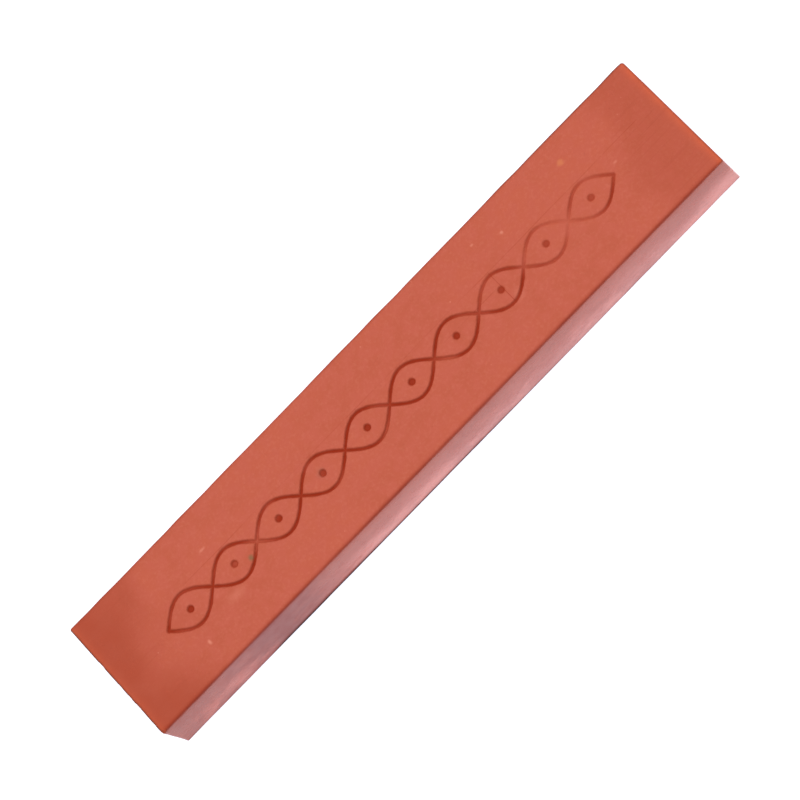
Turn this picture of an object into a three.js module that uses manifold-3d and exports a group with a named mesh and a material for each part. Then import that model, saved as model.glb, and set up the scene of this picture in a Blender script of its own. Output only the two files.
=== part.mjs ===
// A drawing-chalk bar: one stick of pressed red-earth pigment, lying on its broad face.
// The bar is a rectangular block with softly rounded edges. A shallow ornamental band of
// crossing waves and beads is stamped along the middle of its upper broad face.
//
// Units are millimetres. +X runs along the bar, +Y across it and +Z up.
// The origin is the centre of the face that the bar rests on.

import * as THREE from "three";
import { RoundedBoxGeometry } from "three/addons/geometries/RoundedBoxGeometry.js";
import { mergeVertices } from "three/addons/utils/BufferGeometryUtils.js";
import Module from "manifold-3d";

// The bar.
const BAR_LENGTH = 75;
const BAR_WIDTH = 14;
const BAR_HEIGHT = 7;
const EDGE_RADIUS = 0.3;
const EDGE_SEGMENTS = 3;

// The stamped band: two waves that mirror each other and cross, with a round bead in each
// opening between them. The waves start and end at a crossing. Their height is measured from
// the middle line of the band to the middle of the stroke at a crest.
const BAND_CENTRE_X = -0.5;
const BAND_CENTRE_Y = -0.3;
const OPENING_COUNT = 10;
const OPENING_LENGTH = 6;
const WAVE_HEIGHT = 1.8;
const WAVE_STEPS_PER_OPENING = 12;
const BEAD_DIAMETER = 0.7;
const BEAD_SIDES = 16;
const STROKE_WIDTH = 0.36;
const STROKE_DEPTH = 0.25;

// How far a stamping tool stands above the face, so that it cuts the face cleanly.
const TOOL_OVERRUN = 0.5;

const CHALK_COLOUR = 0xc9654d;
const CHALK_ROUGHNESS = 0.7;

const manifold = await Module();
manifold.setup();

// Turns a closed three.js geometry into a manifold solid.
function toSolid(geometry) {
  const bare = geometry.clone();
  bare.deleteAttribute("normal");
  bare.deleteAttribute("uv");
  const merged = mergeVertices(bare, 1e-4);
  const mesh = new manifold.Mesh({
    numProp: 3,
    vertProperties: new Float32Array(merged.attributes.position.array),
    triVerts: new Uint32Array(merged.index.array),
  });
  return new manifold.Manifold(mesh);
}

// Turns a manifold solid back into a three.js geometry.
function toGeometry(solid) {
  const mesh = solid.getMesh();
  const geometry = new THREE.BufferGeometry();
  geometry.setAttribute("position", new THREE.BufferAttribute(mesh.vertProperties, 3));
  geometry.setIndex(new THREE.BufferAttribute(mesh.triVerts, 1));
  geometry.computeVertexNormals();
  return geometry;
}

// The block before stamping, resting on z = 0.
function barBlank() {
  const block = new RoundedBoxGeometry(
    BAR_LENGTH, BAR_WIDTH, BAR_HEIGHT, EDGE_SEGMENTS, EDGE_RADIUS,
  );
  block.translate(0, 0, BAR_HEIGHT / 2);
  return toSolid(block);
}

// Stands a flat outline up as a stamping tool that reaches STROKE_DEPTH into the upper face.
function stampTool(outline) {
  const tool = new THREE.ExtrudeGeometry(outline, {
    depth: STROKE_DEPTH + TOOL_OVERRUN,
    bevelEnabled: false,
  });
  tool.translate(0, 0, BAR_HEIGHT - STROKE_DEPTH);
  return toSolid(tool);
}

// A line one stroke wide along a wave. Side is 1 for the wave that starts upward, -1 for
// the other.
function waveTool(side) {
  const length = OPENING_COUNT * OPENING_LENGTH;
  const turn = Math.PI / OPENING_LENGTH;
  const steps = OPENING_COUNT * WAVE_STEPS_PER_OPENING;
  const upperEdge = [];
  const lowerEdge = [];
  for (let i = 0; i <= steps; i += 1) {
    const along = (length * i) / steps;
    const middle = new THREE.Vector2(
      BAND_CENTRE_X - length / 2 + along,
      BAND_CENTRE_Y + side * WAVE_HEIGHT * Math.sin(turn * along),
    );
    const slope = side * WAVE_HEIGHT * turn * Math.cos(turn * along);
    const toEdge = new THREE.Vector2(-slope, 1).setLength(STROKE_WIDTH / 2);
    upperEdge.push(middle.clone().add(toEdge));
    lowerEdge.push(middle.clone().sub(toEdge));
  }
  return stampTool(new THREE.Shape([...lowerEdge, ...upperEdge.reverse()]));
}

function beadTool(x, y) {
  const circle = new THREE.Shape();
  circle.absarc(x, y, BEAD_DIAMETER / 2, 0, 2 * Math.PI, false);
  const corners = circle.getSpacedPoints(BEAD_SIDES).slice(0, BEAD_SIDES);
  return stampTool(new THREE.Shape(corners));
}

// Every tool of the band: the two waves, then the beads from the left end to the right end.
function bandTools() {
  const tools = [waveTool(1), waveTool(-1)];
  for (let i = 0; i < OPENING_COUNT; i += 1) {
    const x = BAND_CENTRE_X + (i - (OPENING_COUNT - 1) / 2) * OPENING_LENGTH;
    tools.push(beadTool(x, BAND_CENTRE_Y));
  }
  return tools;
}

function chalkBar() {
  const stamped = bandTools().reduce((solid, tool) => solid.subtract(tool), barBlank());
  const material = new THREE.MeshStandardMaterial({
    color: CHALK_COLOUR,
    roughness: CHALK_ROUGHNESS,
    metalness: 0,
  });
  const mesh = new THREE.Mesh(toGeometry(stamped), material);
  mesh.name = "chalk_bar";
  return mesh;
}

const object = new THREE.Group();
object.add(chalkBar());

export default object;
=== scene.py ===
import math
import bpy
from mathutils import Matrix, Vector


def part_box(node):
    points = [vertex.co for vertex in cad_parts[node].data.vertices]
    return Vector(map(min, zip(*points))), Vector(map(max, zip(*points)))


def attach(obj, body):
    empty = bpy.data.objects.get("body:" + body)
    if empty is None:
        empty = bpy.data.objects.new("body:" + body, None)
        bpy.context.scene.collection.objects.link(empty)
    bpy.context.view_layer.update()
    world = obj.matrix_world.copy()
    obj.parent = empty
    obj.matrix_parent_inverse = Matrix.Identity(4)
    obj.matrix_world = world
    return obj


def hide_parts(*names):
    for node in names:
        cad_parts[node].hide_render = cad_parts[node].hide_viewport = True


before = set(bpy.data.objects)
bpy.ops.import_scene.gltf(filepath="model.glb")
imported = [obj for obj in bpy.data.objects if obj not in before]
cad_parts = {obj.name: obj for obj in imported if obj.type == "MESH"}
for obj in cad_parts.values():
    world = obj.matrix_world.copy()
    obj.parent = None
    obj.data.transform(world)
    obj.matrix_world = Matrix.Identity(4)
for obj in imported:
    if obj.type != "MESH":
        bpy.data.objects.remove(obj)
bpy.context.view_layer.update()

# The looks of a pressed red-earth drawing chalk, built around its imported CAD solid.
# The chalk is one closed mesh. It is laid out as a box whose faces are divided more finely
# where there is something to show, then rounded, worn, chipped and stamped point by point.
# Lengths of the chalk are in millimetres, with x and y from the middle of the bar and z from
# its resting face, until they are handed to Blender in metres. In the mesh code the points
# are measured from the middle of the box. The floor, the light and the camera are in metres.

from types import SimpleNamespace

import bpy
import numpy as np
from mathutils import Quaternion, Vector, noise

MM = 0.001
NODE = "chalk_bar"
SEED = 41

node_low, node_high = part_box(NODE)
LENGTH, WIDTH, HEIGHT = (round(side / MM, 3) for side in (node_high - node_low))
HALF = np.array([LENGTH, WIDTH, HEIGHT]) / 2
CENTRE = np.array(node_low + node_high) / (2 * MM)

# The stamped band, laid out as in the CAD solid: two waves that cross, with a bead in each
# opening. The strokes are a little narrower and shallower than the solid's, with sloping
# walls. STROKE_HALF_WIDTH reaches halfway down a wall, and STROKE_WALL is how wide the wall
# is, seen from above. The strokes grow fainter between the two values of x at the end.
BAND_CENTRE = (-0.5, -0.3)
OPENING_COUNT = 10
OPENING_LENGTH = 6.0
WAVE_HEIGHT = 1.8
BEAD_RADIUS = 0.35
STROKE_HALF_WIDTH = 0.15
STROKE_DEPTH = 0.2
STROKE_WALL = 0.24
LIP_HEIGHT = 0.014
LIP_OFFSET = 0.1
WALL_OFFSET = 0.05
LINE_SPREAD = 0.06
FADE_START = 6
FADE_END = 20

# Mesh cells. Every size is COARSE_CELL divided by a power of two, and LEVELS is how often a
# cell may be halved. The bands are how far small cells reach from an edge and a stroke.
COARSE_CELL = 0.5
TOP_CELL = 0.25
EDGE_CELL = 0.125
FINE_CELL = 0.0625
LEVELS = 3
EDGE_BAND = 0.45
STROKE_BAND = 0.2


# ---------------------------------------------------------------------------
# Small helpers
# ---------------------------------------------------------------------------

def smoothstep(low, high, value):
    """0 below low, 1 above high, and a smooth climb between them."""
    t = np.clip((value - low) / (high - low), 0, 1)
    return t * t * (3 - 2 * t)


def perlin(points, size, offset):
    """Smooth noise from -1 to 1 whose lumps are about size millimetres across."""
    shifted = points / size + np.array(offset)
    return np.array([noise.noise(Vector(p)) for p in shifted])


# ---------------------------------------------------------------------------
# The stamped band
# ---------------------------------------------------------------------------

def stroke_distance(x, y):
    """Distance from each point of the upper face to the middle of the nearest stroke."""
    length = OPENING_COUNT * OPENING_LENGTH
    along = x - BAND_CENTRE[0] + length / 2
    across = np.abs(y - BAND_CENTRE[1])
    turn = math.pi / OPENING_LENGTH
    on_wave = np.clip(along, 0, length)
    crest = WAVE_HEIGHT * np.sin(turn * on_wave)
    slope = WAVE_HEIGHT * turn * np.cos(turn * on_wave)
    wave = np.abs(across - np.abs(crest)) / np.hypot(1, slope)
    wave = np.hypot(wave, along - on_wave)
    opening = np.clip(np.floor(along / OPENING_LENGTH), 0, OPENING_COUNT - 1)
    to_bead = np.hypot(along - (opening + 0.5) * OPENING_LENGTH, across)
    bead = np.maximum(to_bead - BEAD_RADIUS + STROKE_HALF_WIDTH, 0)
    return np.minimum(wave, bead)


# ---------------------------------------------------------------------------
# The box of cells
# ---------------------------------------------------------------------------

UNITS = np.round(2 * HALF / FINE_CELL).astype(int)
FACES = [
    (axis, side, (axis + 1) % 3, (axis + 2) % 3)
    for axis in range(3)
    for side in (0, 1)
]


def lattice_to_mm(points):
    """Lattice units counted from the lowest corner, to millimetres from the box's centre."""
    return points * FINE_CELL - HALF


def wanted_cell(centres, axis, side):
    """The cell size that each place on a face asks for."""
    gaps = np.sort(HALF - np.abs(centres), axis=1)[:, 1]
    wanted = np.full(len(centres), COARSE_CELL)
    if axis == 2 and side == 1:
        wanted[:] = TOP_CELL
        d = stroke_distance(centres[:, 0], centres[:, 1])
        wanted[d < STROKE_HALF_WIDTH + STROKE_BAND] = FINE_CELL
    wanted[gaps < EDGE_BAND] = np.minimum(wanted[gaps < EDGE_BAND], EDGE_CELL)
    return wanted


def face_cells(axis, side, u, v):
    """Square cells over one face, as (low u, low v, size) in lattice units."""
    size = int(round(COARSE_CELL / FINE_CELL))
    steps_u, steps_v = np.arange(0, UNITS[u], size), np.arange(0, UNITS[v], size)
    low_u, low_v = np.meshgrid(steps_u, steps_v, indexing="ij")
    cells = np.stack([low_u.ravel(), low_v.ravel()], 1)
    done = []
    for _ in range(LEVELS + 1):
        centres = np.zeros((len(cells), 3))
        centres[:, axis] = side * UNITS[axis]
        centres[:, u] = cells[:, 0] + size / 2
        centres[:, v] = cells[:, 1] + size / 2
        wanted = wanted_cell(lattice_to_mm(centres), axis, side)
        split = (wanted < size * FINE_CELL * 0.99) & (size > 1)
        kept = cells[~split]
        done.append(np.column_stack([kept, np.full(len(kept), size)]))
        half = size // 2
        corners = [(0, 0), (half, 0), (0, half), (half, half)]
        cells = np.concatenate([cells[split] + corner for corner in corners])
        size = half
        if not len(cells):
            break
    return np.concatenate(done)


def key_of(points):
    """One number for each lattice point."""
    return (points[..., 0] * (UNITS[1] + 1) + points[..., 1]) * (UNITS[2] + 1) + points[..., 2]


def box_mesh():
    """Lattice points and the polygons over them. A cell takes in the points that a finer
    neighbour puts on its sides, so the whole surface is closed."""
    rings = []
    for axis, side, u, v in FACES:
        for low_u, low_v, size in face_cells(axis, side, u, v):
            high_u, high_v = low_u + size, low_v + size
            corners = [(low_u, low_v), (high_u, low_v), (high_u, high_v), (low_u, high_v)]
            ring = []
            for cu, cv in corners if side else corners[::-1]:
                point = [0, 0, 0]
                point[axis] = side * UNITS[axis]
                point[u], point[v] = cu, cv
                ring.append(point)
            rings.append((ring, size))
    corner_points = np.array([ring for ring, _ in rings])
    sizes = np.array([size for _, size in rings])
    known = np.unique(key_of(corner_points))
    points = np.zeros((len(known), 3), int)
    points[np.searchsorted(known, key_of(corner_points))] = corner_points
    polygons = []
    for ring, size in zip(corner_points, sizes):
        polygon = []
        for start, end in zip(ring, np.roll(ring, -1, axis=0)):
            step = (end - start) // size
            stops = start + step * np.arange(size)[:, None]
            keys = key_of(stops)
            spots = np.minimum(np.searchsorted(known, keys), len(known) - 1)
            polygon.extend(spots[known[spots] == keys])
        polygons.append(polygon)
    return points, polygons


# ---------------------------------------------------------------------------
# The shape of the worn bar
# ---------------------------------------------------------------------------

EDGE_RADIUS = 0.26
EDGE_RADIUS_VARIATION = 0.1
LOWER_EDGE_SHARPNESS = 0.35
END_SHARPNESS = 0.65
FACE_WAVE = 0.014
FACE_RIPPLE = 0.004

# A corner that is rounder than the rest: where, how much larger its radius is, how far it reaches.
SOFT_CORNER = (HALF * (1, 1, 1), 0.15, 0.8)

# Chips of each edge: (side of the bar by axis, with None along the edge; number; size against
# the usual).
CHIPPED_EDGES = [
    ((None, -1, 1), 8, 0.8),
    ((None, 1, 1), 6, 0.7),
    ((-1, None, 1), 7, 1.0),
    ((1, None, 1), 4, 0.8),
    ((-1, -1, None), 3, 0.9),
    ((1, -1, None), 2, 0.8),
    ((-1, 1, None), 2, 0.8),
    ((1, 1, None), 2, 0.8),
    ((None, -1, -1), 4, 0.5),
    ((None, 1, -1), 5, 0.6),
    ((-1, None, -1), 3, 0.7),
    ((1, None, -1), 3, 0.7),
]

# One larger nick at a corner: the corner, the way to the ball's centre, its radius, its depth.
CORNER_NICK = (HALF * (-1, -1, 1), (-0.5, -1.0, 0.9), 1.3, 0.34)

# How far the edge marks reach: the darker edges along the bar on its sides and on its broad faces, the painted
# highlight around its ends, and the thin rim of painted shade.
SIDE_EDGE_SPREAD = 0.36
FACE_EDGE_SPREAD = 0.24
END_EDGE_SPREAD = 0.55
RIM_SPREAD = 0.13
RIM_REACH_DOWN = 0.4
RIM_LEFT = 1.0
RIM_RIGHT = 0.35
FOOT_SHADOW_STRENGTH = 1.4


def rounded(box_points):
    """Points of the box moved onto the bar with rounded edges, and the outward directions."""
    radius = EDGE_RADIUS + EDGE_RADIUS_VARIATION * perlin(box_points, 2.2, (3, 1, 7))
    above_floor = box_points[:, 2] + HALF[2]
    from_end = HALF[0] - np.abs(box_points[:, 0])
    radius *= LOWER_EDGE_SHARPNESS + (1 - LOWER_EDGE_SHARPNESS) * smoothstep(0.3, 1.5, above_floor)
    radius *= END_SHARPNESS + (1 - END_SHARPNESS) * smoothstep(0.5, 3.0, from_end)
    corner, extra, spread = SOFT_CORNER
    radius += extra * np.exp(-np.sum((box_points - corner) ** 2, axis=1) / spread ** 2)
    core = HALF - radius[:, None]
    inner = np.clip(box_points, -core, core)
    outward = box_points - inner
    outward /= np.linalg.norm(outward, axis=1)[:, None]
    return inner + outward * radius[:, None], outward


def chips():
    """Every chip as (centre, radius) of the ball that bites into the bar."""
    draw = np.random.default_rng(SEED)
    found = []
    for sides, count, scale in CHIPPED_EDGES:
        free = sides.index(None)
        for _ in range(count):
            spot = np.array([0.0 if side is None else side for side in sides]) * HALF
            spot[free] = draw.uniform(-0.95, 0.95) * HALF[free]
            lean = np.array([0.0 if side is None else side * draw.uniform(0.5, 1) for side in sides])
            lean[free] = draw.uniform(-0.3, 0.3)
            radius = draw.uniform(0.35, 1.1) * scale
            depth = draw.uniform(0.12, 0.12 + 0.1 * radius) * scale
            found.append((spot + lean / np.linalg.norm(lean) * (radius - depth), radius))
    spot, lean, radius, depth = CORNER_NICK
    lean = np.array(lean)
    found.append((spot + lean / np.linalg.norm(lean) * (radius - depth), radius))
    return found


def bite(places, balls):
    """Pushes the points inside each ball out to its skin, and says how far each was pushed."""
    moved = places.copy()
    for centre, radius in balls:
        away = moved - centre
        gap = np.linalg.norm(away, axis=1)
        near = np.flatnonzero(gap < radius * 1.2)
        rough = radius * (1 + 0.05 * perlin(moved[near], 0.35, (9, 4, 2)))
        inside = gap[near] < rough
        chosen = near[inside]
        moved[chosen] = centre + away[chosen] / gap[chosen, None] * rough[inside, None]
    return moved, np.linalg.norm(moved - places, axis=1)


def stamp(places):
    """How deep the stroke is at each place, and how dark it is painted: its pressed pigment, with painted
    shade in the groove and on its walls.
    """
    wobble = 0.032 * perlin(places, 0.7, (5, 8, 1)) + 0.012 * perlin(places, 0.2, (2, 6, 4))
    d = stroke_distance(places[:, 0], places[:, 1]) + wobble
    faint = 0.42 - 0.6 * perlin(places, 3.5, (7, 7, 3))
    fade = 1.05 - np.clip(faint, 0.05, 0.75) * smoothstep(FADE_START, FADE_END, places[:, 0])
    inside = smoothstep(-STROKE_WALL / 2, STROKE_WALL / 2, STROKE_HALF_WIDTH - d)
    floor = 1 + 0.12 * perlin(places, 0.3, (1, 9, 5))
    lip = np.exp(-((d - STROKE_HALF_WIDTH - LIP_OFFSET) / LINE_SPREAD) ** 2)
    depth = STROKE_DEPTH * fade * inside * floor - LIP_HEIGHT * fade * lip
    wall = np.exp(-((d - STROKE_HALF_WIDTH + WALL_OFFSET) / LINE_SPREAD) ** 2)
    patchy = 1.0 + 0.9 * perlin(places, 2.3, (4, 2, 8))
    middle = smoothstep(-STROKE_WALL / 2, STROKE_WALL / 2, 0.8 * STROKE_HALF_WIDTH - d)
    # The stroke is painted dark for its pressed pigment and as shade in the groove; the wall term is painted
    # shade on the walls.
    dark = middle * np.clip(patchy, 0.3, 1) * fade + 0.15 * wall * fade
    return depth, np.clip(dark, 0, 1)


def edge_values(box_points):
    """How strongly each point is marked as an edge along the bar, as an edge of an end where a highlight is
    painted, as the lower front edge where a contact shadow is painted, and as the rim of the far edge and the
    end edges where shade is painted."""
    gap = HALF - np.abs(box_points)
    on_side = gap[:, 1] < gap[:, 2]
    spread = np.where(on_side, SIDE_EDGE_SPREAD, FACE_EDGE_SPREAD)
    long_edge = np.exp(-(np.maximum(gap[:, 1], gap[:, 2]) / spread) ** 2)
    to_face = np.minimum(gap[:, 1], gap[:, 2])
    # Where a highlight is painted along the edges of the ends.
    end_edge = np.exp(-(np.maximum(gap[:, 0], to_face) / END_EDGE_SPREAD) ** 2)
    end_edge *= np.where(on_side, 0.3, 1.0) * np.where(box_points[:, 0] < 0, 0.45, 1.0)
    end_edge *= 1 + 0.5 * perlin(box_points, 1.2, (8, 3, 6))
    long_edge *= 0.85 + 0.3 * perlin(box_points, 3.0, (2, 5, 5))
    long_edge[box_points[:, 1] > 0] *= 0.6
    long_edge[box_points[:, 2] < 0] *= 0.3
    x, y, z = box_points.T
    # The painted contact shadow along the front lower edge: its strength along x and the height it reaches.
    shaded_stretch = 0.3 + 0.7 * smoothstep(-27, -23.5, x)
    shaded_stretch *= 1 - 0.6 * smoothstep(0, 20, x) - 0.28 * smoothstep(22, 32, x)
    thick = 0.28 + 0.22 * smoothstep(-27, -23.5, x)
    thick -= 0.1 * smoothstep(-16, -6, x) + 0.12 * smoothstep(0, 12, x)
    foot = np.clip(FOOT_SHADOW_STRENGTH * shaded_stretch * np.exp(-((z + HALF[2]) / thick) ** 2), 0, 1)
    foot *= (gap[:, 0] > gap[:, 1]) & (y < 0)
    # Painted shade along the rim of the end edges and of the far edge.
    far = 0.35 + 0.6 * smoothstep(10, 30, x)
    rim = np.zeros(len(box_points))
    left, right, back = x + HALF[0], HALF[0] - x, HALF[1] - y
    for off_edge, strength in ((left, RIM_LEFT), (right, RIM_RIGHT), (back, far)):
        rim = np.maximum(rim, strength * np.exp(-(off_edge / RIM_SPREAD) ** 2))
    rim *= np.exp(-(gap[:, 2] / RIM_REACH_DOWN) ** 2) * (z > 0)
    return long_edge, end_edge, foot, rim


def chalk_mesh():
    """The whole bar as one closed mesh, with the point values that its material reads."""
    lattice, polygons = box_mesh()
    box_points = lattice_to_mm(lattice)
    places, outward = rounded(box_points)
    rests = smoothstep(-HALF[2], 0.3 - HALF[2], places[:, 2])
    wave = FACE_WAVE * perlin(places, 9, (1, 2, 3)) + FACE_RIPPLE * perlin(places, 1.6, (6, 5, 4))
    places += outward * (wave * rests)[:, None]
    on_top = lattice[:, 2] == UNITS[2]
    depth, dark = stamp(places[on_top])
    places[on_top, 2] -= depth
    pressed = np.zeros(len(places))
    pressed[on_top] = dark
    places, chipped = bite(places, chips())
    mesh = bpy.data.meshes.new("chalk_bar_worn")
    mesh.from_pydata(((places + CENTRE) * MM).tolist(), [], polygons)
    mesh.shade_smooth()
    long_edge, end_edge, foot, rim = edge_values(box_points)
    values = {
        "pressed": pressed,
        "long_edge": long_edge,
        "end_edge": end_edge,
        "foot": foot,
        "rim": rim,
        "chipped": smoothstep(0.02, 0.08, chipped),
        "side": 1 - smoothstep(0.35, 0.8, np.abs(outward[:, 2])),
    }
    for name, value in values.items():
        layer = mesh.attributes.new(name, "FLOAT", "POINT")
        layer.data.foreach_set("value", value.astype(np.float32))
    return mesh


# ---------------------------------------------------------------------------
# Material nodes
# ---------------------------------------------------------------------------

def add(tree, kind, settings=None, **inputs):
    """Adds a node. Settings are its own properties; inputs are sockets to link or constants."""
    made = tree.nodes.new(kind)
    for name, value in (settings or {}).items():
        setattr(made, name, value)
    for name, value in inputs.items():
        put(tree, made.inputs[name.replace("_", " ")], value)
    return made


def put(tree, socket, value):
    """Links a socket to value, or sets it as a constant."""
    if isinstance(value, bpy.types.NodeSocket):
        tree.links.new(value, socket)
    else:
        socket.default_value = value


def calc(tree, operation, first, second=0.0, clamp=False):
    """One step of arithmetic on sockets or constants."""
    made = add(tree, "ShaderNodeMath", {"operation": operation, "use_clamp": clamp})
    put(tree, made.inputs[0], first)
    put(tree, made.inputs[1], second)
    return made.outputs[0]


def times(tree, first, *others):
    """The product of sockets and constants."""
    product = first
    for factor in others:
        product = calc(tree, "MULTIPLY", product, factor)
    return product


def ramp(tree, value, low, high, start=0.0, end=1.0):
    """Start at low, end at high, and a smooth change between. Low may be the larger one."""
    made = add(tree, "ShaderNodeMapRange", {"interpolation_type": "SMOOTHSTEP"}, Value=value)
    for name, number in (("From Min", low), ("From Max", high), ("To Min", start), ("To Max", end)):
        made.inputs[name].default_value = number
    return made.outputs["Result"]


def span(tree, value, low, high, start=0.0, end=1.0):
    """A ramp over a length whose ends are given in millimetres."""
    return ramp(tree, value, low * MM, high * MM, start, end)


def blend(tree, factor, first, second):
    """Mixes two colours, each a socket or a linear (r, g, b)."""
    made = add(tree, "ShaderNodeMix", {"data_type": "RGBA", "blend_type": "MIX"})
    put(tree, made.inputs[0], factor)
    for socket, colour in ((made.inputs[6], first), (made.inputs[7], second)):
        put(tree, socket, colour if isinstance(colour, bpy.types.NodeSocket) else (*colour, 1))
    return made.outputs[2]


def attribute(tree, name):
    """A point value of the mesh."""
    return add(tree, "ShaderNodeAttribute", {"attribute_name": name}).outputs["Fac"]


def speckle(tree, where, size_mm, detail=2.0, roughness=0.5):
    """Noise from 0 to 1 whose lumps are about size_mm across."""
    made = add(
        tree, "ShaderNodeTexNoise", Vector=where,
        Scale=0.5 / (size_mm * MM), Detail=detail, Roughness=roughness,
    )
    return made.outputs["Fac"]


def stretched(tree, where, scale):
    """Coordinates squeezed by scale along each axis, so that a pattern on them is drawn out."""
    made = add(tree, "ShaderNodeVectorMath", {"operation": "MULTIPLY"})
    put(tree, made.inputs[0], where)
    put(tree, made.inputs[1], scale)
    return made.outputs[0]


def grains(tree, where, spacing_mm, radius_mm, share):
    """Scattered round grains: 1 on a grain. Share is how many of the places hold one."""
    cells = add(tree, "ShaderNodeTexVoronoi", Vector=where, Scale=1 / (spacing_mm * MM))
    draw = add(tree, "ShaderNodeSeparateColor", Color=cells.outputs["Color"])
    size = radius_mm / spacing_mm
    disc = ramp(tree, cells.outputs["Distance"], size, size * 0.4)
    chosen = ramp(tree, draw.outputs["Red"], 1 - share - 0.02, 1 - share + 0.02)
    return times(tree, disc, chosen)


# Linear colours.
RED_EARTH_PALE = (0.462, 0.091, 0.048)
RED_EARTH_DEEP = (0.440, 0.085, 0.044)
RED_EARTH_PINK = (0.464, 0.095, 0.056)
# Darker towards the ends of the bar.
DARKER_END = (0.362, 0.058, 0.026)
# Pressed pigment with painted shade in the stroke grooves, also used for the hairlines.
PRESSED_RED_AND_SHADE = (0.275, 0.020, 0.002)
EDGE_RED = (0.240, 0.029, 0.015)
# A painted highlight along the edges of the ends.
END_EDGE_HIGHLIGHT = (0.560, 0.100, 0.040)
FRESH_CHIP = (0.520, 0.095, 0.042)
# Painted shade along the rim of the far edge and the end edges.
RIM_SHADE = (0.100, 0.030, 0.016)
PALE_GRAIN = (0.620, 0.200, 0.130)
DARK_GRAIN = (0.300, 0.048, 0.024)
# Painted light from the floor on the lower sides.
SIDE_FLOOR_LIGHT = (0.930, 0.185, 0.145)
# Painted reflection in blotches low on the sides.
SIDE_REFLECTION = (0.980, 0.250, 0.170)
# Painted shade over a stretch of the front side, and random dull blotches on the sides.
SIDE_DULL_AND_SHADE = (0.335, 0.104, 0.092)
# Painted contact shadow along the lower front edge.
CONTACT_SHADOW = (0.030, 0.010, 0.012)
GREY_GREEN = (0.190, 0.105, 0.045)
GREY_SMUDGE = (0.330, 0.105, 0.068)
OCHRE = (0.640, 0.220, 0.075)

# Marks on the upper face: (x, y) in mm, half-length along and across the bar, colour, strength.
MARKS = [
    ((-19.95, -1.10), 0.34, 0.36, GREY_GREEN, 0.85),
    ((-9.60, -0.15), 0.60, 0.60, GREY_SMUDGE, 0.35),
    ((-28.25, -4.00), 0.20, 0.30, PALE_GRAIN, 0.80),
    ((-22.90, 3.00), 0.42, 0.16, PALE_GRAIN, 0.60),
    ((-23.30, -2.60), 1.30, 0.60, PALE_GRAIN, 0.25),
    ((18.30, 3.65), 0.20, 0.20, PALE_GRAIN, 0.75),
    ((15.45, 4.90), 0.22, 0.15, PALE_GRAIN, 0.55),
    ((15.50, -1.80), 0.60, 0.70, PALE_GRAIN, 0.20),
    ((26.80, 4.30), 0.42, 0.36, OCHRE, 0.40),
    ((30.40, 0.45), 0.26, 0.16, PALE_GRAIN, 0.45),
]

# Hairlines left by the edge of the stamp, painted dark as the shade of their fine grooves: the axis that the
# line crosses (0 for x, 1 for y), where on that axis, from and to along the other axis, strength. In mm.
HAIRLINES = [
    (1, 1.87, -27.0, 35.0, 0.30),
    (1, 0.10, 6.5, 14.5, 0.30),
    (0, 14.75, -2.65, 2.20, 0.70),
]
HAIRLINE_HALF_WIDTH = 0.06
HAIRLINE_WANDER = 0.2

# Where each shade is at its least and where it is full, in mm. STREAKED_ENDS counts from the middle to either
# end, the darker-end, dull and LOW_LEFT pairs are along x, DULL_FRONT is along y, and the rest are heights.
STREAKED_ENDS = (30.0, 35.0)
DARKER_LEFT = (-27.2, -36.0)
DARKER_RIGHT = (29.0, 36.2)
DULL_FROM = (-35.0, -25.0)
DULL_UNTIL = (-9.5, -22.5)
DULL_FRONT = (2.0, -4.0)
LOW_LEFT = (-36.5, -27.5)
LOW_ON_SIDE = (6.2, 1.0)
REFLECTION_BELOW = (4.2, 1.2)
BURNISHED_BELOW = (6.2, 5.0)

# How strong the shades are: the most of the darker ends and of the painted reflection low on the sides, the
# least of the painted shade of the dull stretch at its left and of the painted floor light low on the sides at
# the left end, and the range of the dull blotches.
DARKER_LEFT_STRENGTH = 0.92
DARKER_RIGHT_STRENGTH = 0.38
REFLECTION_STRENGTH = 0.4
DULL_BEFORE = 0.3
LOW_LEFT_SHARE = 0.25
DULL_BLOTCHES = (0.1, 0.3)

# How far the borders of the shades wander, in mm.
DARKER_END_WANDER = 9.0
DULL_WANDER_X = 24.0
DULL_WANDER_Z = 4.0

# The surface: roughness, shine and relief.
ROUGHNESS = (0.58, 0.7)
SIDE_SATIN = 0.43
DULL_SATIN = 0.20
WORN_AND_SHADED_ROUGHNESS = 0.6
BURNISHED_COAT = 0.15
LOW_COAT = 0.75
COAT_ROUGHNESS = 0.3
SMOOTH_SIDE = 0.88
RELIEF_HEIGHT = 0.02
CHALK_IOR = 1.5
CHALK_SPECULAR = 0.12


def mark_mask(tree, where, centre, half_along, half_across):
    """1 inside an oval on the upper face, with a ragged edge."""
    x, y = centre
    offset = add(tree, "ShaderNodeVectorMath", {"operation": "SUBTRACT"})
    put(tree, offset.inputs[0], where)
    put(tree, offset.inputs[1], (x * MM, y * MM, HEIGHT * MM))
    scaled = stretched(tree, offset.outputs[0], (1 / (half_along * MM), 1 / (half_across * MM), 1 / MM))
    length = add(tree, "ShaderNodeVectorMath", {"operation": "LENGTH"})
    put(tree, length.inputs[0], scaled)
    uneven = times(tree, speckle(tree, where, 0.25), 0.8)
    return ramp(tree, calc(tree, "ADD", length.outputs["Value"], uneven), 1.7, 0.6)


def hairline_mask(tree, place, wander, axis, position, start, end):
    """1 along a thin line on the upper face that wanders a little."""
    across, along = place.outputs["XY"[axis]], place.outputs["XY"[1 - axis]]
    off = calc(tree, "SUBTRACT", calc(tree, "ADD", across, wander), position * MM)
    line = span(tree, calc(tree, "ABSOLUTE", off), HAIRLINE_HALF_WIDTH, 0.3 * HAIRLINE_HALF_WIDTH)
    began = span(tree, along, start, start + 1)
    ended = span(tree, along, end, end - 1)
    top = span(tree, place.outputs["Z"], HEIGHT - 0.2, HEIGHT - 0.1)
    return times(tree, line, top, began, ended)


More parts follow.
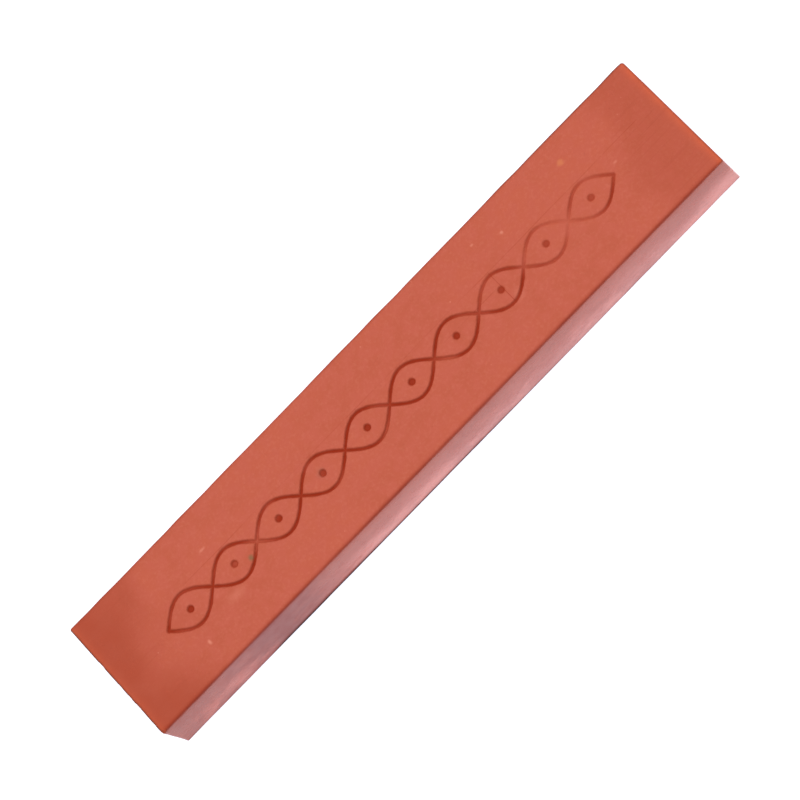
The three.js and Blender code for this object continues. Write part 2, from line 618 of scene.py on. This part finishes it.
def surface_values(tree):
    """The places, noises and point values that the colour, the shine and the relief share."""
    where = add(tree, "ShaderNodeTexCoord").outputs["Object"]
    place = add(tree, "ShaderNodeSeparateXYZ", Vector=where)
    names = ("pressed", "chipped", "side", "long_edge", "end_edge", "foot", "rim")
    bar = SimpleNamespace(where=where, place=place, **{name: attribute(tree, name) for name in names})
    bar.x, bar.y, bar.z = (place.outputs[axis] for axis in "XYZ")
    bar.clouds = speckle(tree, where, 3.0)
    bar.patches = speckle(tree, where, 0.7)
    bar.grain = speckle(tree, where, 0.15, detail=3.0, roughness=0.6)
    bar.drawn = speckle(tree, stretched(tree, where, (0.02, 1, 1)), 0.1)
    bar.blotches = speckle(tree, stretched(tree, where, (0.6, 1, 1)), 3.0, detail=5.0, roughness=0.75)
    # The darker edges, with the bands of painted contact shadow and painted rim shade.
    bar.worn = calc(tree, "MAXIMUM", calc(tree, "MAXIMUM", bar.long_edge, bar.foot), bar.rim)
    add_side_values(tree, bar)
    return bar


def add_side_values(tree, bar):
    """The dull stretch of the sides, painted darker as shade, with random dull blotches, what lies outside it,
    and the low part of that, where painted light from the floor goes.
    """
    unsteady = calc(tree, "SUBTRACT", bar.blotches, 0.5)
    ragged_x = calc(tree, "ADD", bar.x, times(tree, unsteady, DULL_WANDER_X * MM))
    ragged_z = calc(tree, "ADD", bar.z, times(tree, unsteady, DULL_WANDER_Z * MM))
    began = span(tree, ragged_x, *DULL_FROM, start=DULL_BEFORE)
    ended = span(tree, ragged_x, *DULL_UNTIL)
    # The stretch of the front side that is painted darker as shade.
    shaded_stretch = times(tree, began, ended, span(tree, bar.y, *DULL_FRONT))
    elsewhere = ramp(tree, bar.blotches, 0.45, 0.68, *DULL_BLOTCHES)
    bar.dull = times(tree, calc(tree, "MAXIMUM", shaded_stretch, elsewhere), bar.side)
    bar.clean = calc(tree, "SUBTRACT", bar.side, bar.dull, clamp=True)
    # The low part of the sides outside the dull stretch, less of it at the left end, which takes the painted
    # floor light and the coat.
    low_left = span(tree, bar.x, *LOW_LEFT, start=LOW_LEFT_SHARE)
    bar.low = times(tree, span(tree, ragged_z, *LOW_ON_SIDE), bar.clean, low_left)


def earth_colour(tree, bar):
    """The mottled red earth, with drawn streaks and darker ends."""
    colour = blend(tree, ramp(tree, bar.clouds, 0.35, 0.65), RED_EARTH_DEEP, RED_EARTH_PALE)
    colour = blend(tree, ramp(tree, bar.patches, 0.35, 0.65), colour, RED_EARTH_PINK)
    colour = blend(tree, ramp(tree, bar.grain, 0.45, 0.75, 0.0, 0.14), colour, PALE_GRAIN)
    near_end = span(tree, calc(tree, "ABSOLUTE", bar.x), *STREAKED_ENDS)
    by_end = ramp(tree, near_end, 0.0, 1.0, 0.06, 0.25)
    by_side = ramp(tree, bar.side, 0.0, 1.0, 1.0, 0.3)
    streaks = times(tree, ramp(tree, bar.drawn, 0.58, 0.72), by_end, by_side)
    colour = blend(tree, streaks, colour, DARK_GRAIN)
    wander = times(tree, calc(tree, "SUBTRACT", bar.clouds, 0.5), DARKER_END_WANDER * MM)
    # Darker towards each end.
    left = span(tree, calc(tree, "ADD", bar.x, wander), *DARKER_LEFT, end=DARKER_LEFT_STRENGTH)
    right = span(tree, calc(tree, "SUBTRACT", bar.x, wander), *DARKER_RIGHT, end=DARKER_RIGHT_STRENGTH)
    return blend(tree, right, blend(tree, left, colour, DARKER_END), DARKER_END)


def side_colour(tree, bar, colour):
    """Colour with the dull stretch painted as shade, the random dull blotches, painted light from the floor
    and a painted reflection low down, and the side's grain.
    """
    # Painted shade of the dull stretch, and the random dull blotches.
    colour = blend(tree, bar.dull, colour, SIDE_DULL_AND_SHADE)
    # Painted light from the floor, low on the sides.
    colour = blend(tree, times(tree, bar.low, 0.30), colour, SIDE_FLOOR_LIGHT)
    # Painted reflection in blotches low on the sides outside the dull stretch.
    side_reflection = times(tree, ramp(tree, bar.blotches, 0.56, 0.42), span(tree, bar.z, *REFLECTION_BELOW, end=REFLECTION_STRENGTH))
    colour = blend(tree, times(tree, side_reflection, bar.clean), colour, SIDE_REFLECTION)
    flecks = speckle(tree, bar.where, 0.22, detail=3.0, roughness=0.7)
    side_grain = ramp(tree, flecks, 0.5, 0.7, 0.0, 0.25)
    return blend(tree, times(tree, side_grain, bar.side), colour, DARK_GRAIN)


def marked_colour(tree, bar, colour):
    """Colour with pale grains, the marks, and the hairlines painted dark as the shade of fine grooves, which
    come and go.
    """
    pale = grains(tree, bar.where, 1.3, 0.10, 0.10)
    colour = blend(tree, times(tree, pale, 0.6), colour, PALE_GRAIN)
    for centre, half_along, half_across, tint, strength in MARKS:
        spot = mark_mask(tree, bar.where, centre, half_along, half_across)
        colour = blend(tree, times(tree, spot, strength), colour, tint)
    wander = times(tree, calc(tree, "SUBTRACT", speckle(tree, bar.where, 4.0), 0.5), HAIRLINE_WANDER * MM)
    comes_and_goes = ramp(tree, speckle(tree, bar.where, 2.0), 0.35, 0.6, 0.25, 1.0)
    for axis, position, start, end, strength in HAIRLINES:
        line = hairline_mask(tree, bar.place, wander, axis, position, start, end)
        # Each hairline is painted dark as the shade of its fine groove.
        colour = blend(tree, times(tree, line, comes_and_goes, strength), colour, PRESSED_RED_AND_SHADE)
    return colour


def worn_colour(tree, bar, colour):
    """Colour with the darker edges, the painted highlight of the end edges, the painted shade of the rim, the
    strokes with their pressed pigment and painted groove shade, the chips and the painted contact shadow along
    the foot.
    """
    colour = blend(tree, times(tree, bar.long_edge, 0.72), colour, EDGE_RED)
    # The painted highlight along the end edges.
    colour = blend(tree, times(tree, bar.end_edge, 0.75), colour, END_EDGE_HIGHLIGHT)
    # Painted shade on the rim of the far edge and the end edges.
    colour = blend(tree, bar.rim, colour, RIM_SHADE)
    # The strokes: pressed pigment with painted shade in their grooves.
    colour = blend(tree, bar.pressed, colour, PRESSED_RED_AND_SHADE)
    colour = blend(tree, times(tree, bar.chipped, 0.4), colour, FRESH_CHIP)
    # Painted contact shadow along the lower front edge.
    return blend(tree, times(tree, bar.foot, 0.95), colour, CONTACT_SHADOW)


def roughness(tree, bar):
    """Matt on the upper face, satin on the sides, and matt again along the worn edges and the bands of painted
    shade.
    """
    rough = ramp(tree, bar.patches, 0.3, 0.7, *ROUGHNESS)
    satin = calc(tree, "SUBTRACT", times(tree, bar.side, SIDE_SATIN), times(tree, bar.dull, DULL_SATIN))
    rough = calc(tree, "SUBTRACT", rough, satin)
    return calc(tree, "ADD", rough, times(tree, bar.worn, WORN_AND_SHADED_ROUGHNESS), clamp=True)


def coat_weight(tree, bar):
    """The burnished shine of the sides outside the dull stretch and blotches, strongest low down."""
    high = times(tree, span(tree, bar.z, *BURNISHED_BELOW, end=BURNISHED_COAT), bar.clean)
    burnished = calc(tree, "ADD", high, times(tree, bar.low, bar.low, LOW_COAT))
    return calc(tree, "SUBTRACT", burnished, bar.worn, clamp=True)


def relief_normal(tree, bar):
    """Fine grain and drawn lines, much weaker on the sides."""
    relief = calc(tree, "ADD", times(tree, bar.grain, 0.7), times(tree, bar.drawn, 0.3))
    relief = times(tree, relief, calc(tree, "SUBTRACT", 1.0, times(tree, bar.side, SMOOTH_SIDE)))
    bump = add(tree, "ShaderNodeBump", Strength=1.0, Distance=RELIEF_HEIGHT * MM, Height=relief)
    return bump.outputs["Normal"]


def chalk_material():
    material = bpy.data.materials.new("pressed_red_chalk")
    material.use_nodes = True
    tree = material.node_tree
    shader = tree.nodes["Principled BSDF"]
    bar = surface_values(tree)
    colour = earth_colour(tree, bar)
    colour = side_colour(tree, bar, colour)
    colour = marked_colour(tree, bar, colour)
    put(tree, shader.inputs["Base Color"], worn_colour(tree, bar, colour))
    put(tree, shader.inputs["Roughness"], roughness(tree, bar))
    put(tree, shader.inputs["Coat Weight"], coat_weight(tree, bar))
    put(tree, shader.inputs["Normal"], relief_normal(tree, bar))
    shader.inputs["Coat Roughness"].default_value = COAT_ROUGHNESS
    shader.inputs["IOR"].default_value = CHALK_IOR
    shader.inputs["Specular IOR Level"].default_value = CHALK_SPECULAR
    return material


# The floor gives off some light of its own, so it looks white and hardly takes a shadow.
FLOOR_GREY = 0.25
FLOOR_ROUGHNESS = 0.9
FLOOR_GLOW = (0.9, 0.9, 1, 1)
FLOOR_GLOW_STRENGTH = 1.06


def floor_material():
    material = bpy.data.materials.new("white_paper_floor")
    material.use_nodes = True
    shader = material.node_tree.nodes["Principled BSDF"]
    shader.inputs["Base Color"].default_value = (FLOOR_GREY, FLOOR_GREY, FLOOR_GREY, 1)
    shader.inputs["Roughness"].default_value = FLOOR_ROUGHNESS
    shader.inputs["Emission Color"].default_value = FLOOR_GLOW
    shader.inputs["Emission Strength"].default_value = FLOOR_GLOW_STRENGTH
    return material


# ---------------------------------------------------------------------------
# The scene
# ---------------------------------------------------------------------------

def add_object(name, data):
    made = bpy.data.objects.new(name, data)
    bpy.context.scene.collection.objects.link(made)
    return made


def build_chalk():
    mesh = chalk_mesh()
    mesh.materials.append(chalk_material())
    bar = add_object("chalk_bar_worn", mesh)
    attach(bar, "root")
    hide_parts(NODE)
    return bar


FLOOR_HALF = 1.5
FLOOR_DROP = 0.00001


def build_floor():
    mesh = bpy.data.meshes.new("floor")
    corners = [(-1, -1), (1, -1), (1, 1), (-1, 1)]
    mesh.from_pydata([(x * FLOOR_HALF, y * FLOOR_HALF, -FLOOR_DROP) for x, y in corners], [], [(0, 1, 2, 3)])
    mesh.materials.append(floor_material())
    add_object("floor", mesh)


def area_light(name, azimuth, elevation, distance, size, power):
    """A square soft light that faces the bar. Azimuth 0 is in front of it, on the -Y side."""
    light = bpy.data.lights.new(name, "AREA")
    light.shape, light.size, light.energy = "SQUARE", size, power
    lamp = add_object(name, light)
    a, e = math.radians(azimuth), math.radians(elevation)
    toward = Vector((math.sin(a) * math.cos(e), -math.cos(a) * math.cos(e), math.sin(e)))
    lamp.location = toward * distance
    lamp.rotation_mode = "QUATERNION"
    lamp.rotation_quaternion = toward.to_track_quat("Z", "Y")


# The world is bright at the horizon and dimmer overhead. Heights are the z of the direction.
WORLD_COLOUR = (0.97, 0.97, 1, 1)
WORLD_HORIZON = (0.14, 1.04)
WORLD_OVERHEAD = (0.32, 0.46)


def build_lights():
    world = bpy.data.worlds.new("studio")
    world.use_nodes = True
    tree = world.node_tree
    background = tree.nodes["Background"]
    toward = add(tree, "ShaderNodeTexCoord").outputs["Generated"]
    upward = add(tree, "ShaderNodeSeparateXYZ", Vector=toward).outputs["Z"]
    (low, bright), (high, dim) = WORLD_HORIZON, WORLD_OVERHEAD
    put(tree, background.inputs["Strength"], ramp(tree, upward, low, high, bright, dim))
    background.inputs["Color"].default_value = WORLD_COLOUR
    bpy.context.scene.world = world
    area_light("key", azimuth=180, elevation=78, distance=1.2, size=0.9, power=13.0)


# The camera turns about CAMERA_AIM. Angles are in degrees, as for the light, and the lens and
# the sensor in millimetres.
CAMERA_AZIMUTH = 16.06
CAMERA_ELEVATION = 69.45
CAMERA_ROLL = -60.85
CAMERA_DISTANCE = 0.38615
CAMERA_AIM = Vector((0.00052, -0.00074, 0.007))
CAMERA_LENS = 185.8
CAMERA_SENSOR = 36


def build_camera():
    data = bpy.data.cameras.new("camera")
    data.lens, data.sensor_width = CAMERA_LENS, CAMERA_SENSOR
    camera = add_object("camera", data)
    a, e = math.radians(CAMERA_AZIMUTH), math.radians(CAMERA_ELEVATION)
    back = Vector((math.sin(a) * math.cos(e), -math.cos(a) * math.cos(e), math.sin(e)))
    camera.location = CAMERA_AIM + back * CAMERA_DISTANCE
    camera.rotation_mode = "QUATERNION"
    level = (-back).to_track_quat("-Z", "Y")
    camera.rotation_quaternion = level @ Quaternion((0, 0, 1), math.radians(CAMERA_ROLL))
    bpy.context.scene.camera = camera


build_camera()
build_chalk()
build_floor()
build_lights()
bpy.context.scene.view_settings.view_transform = "Standard"
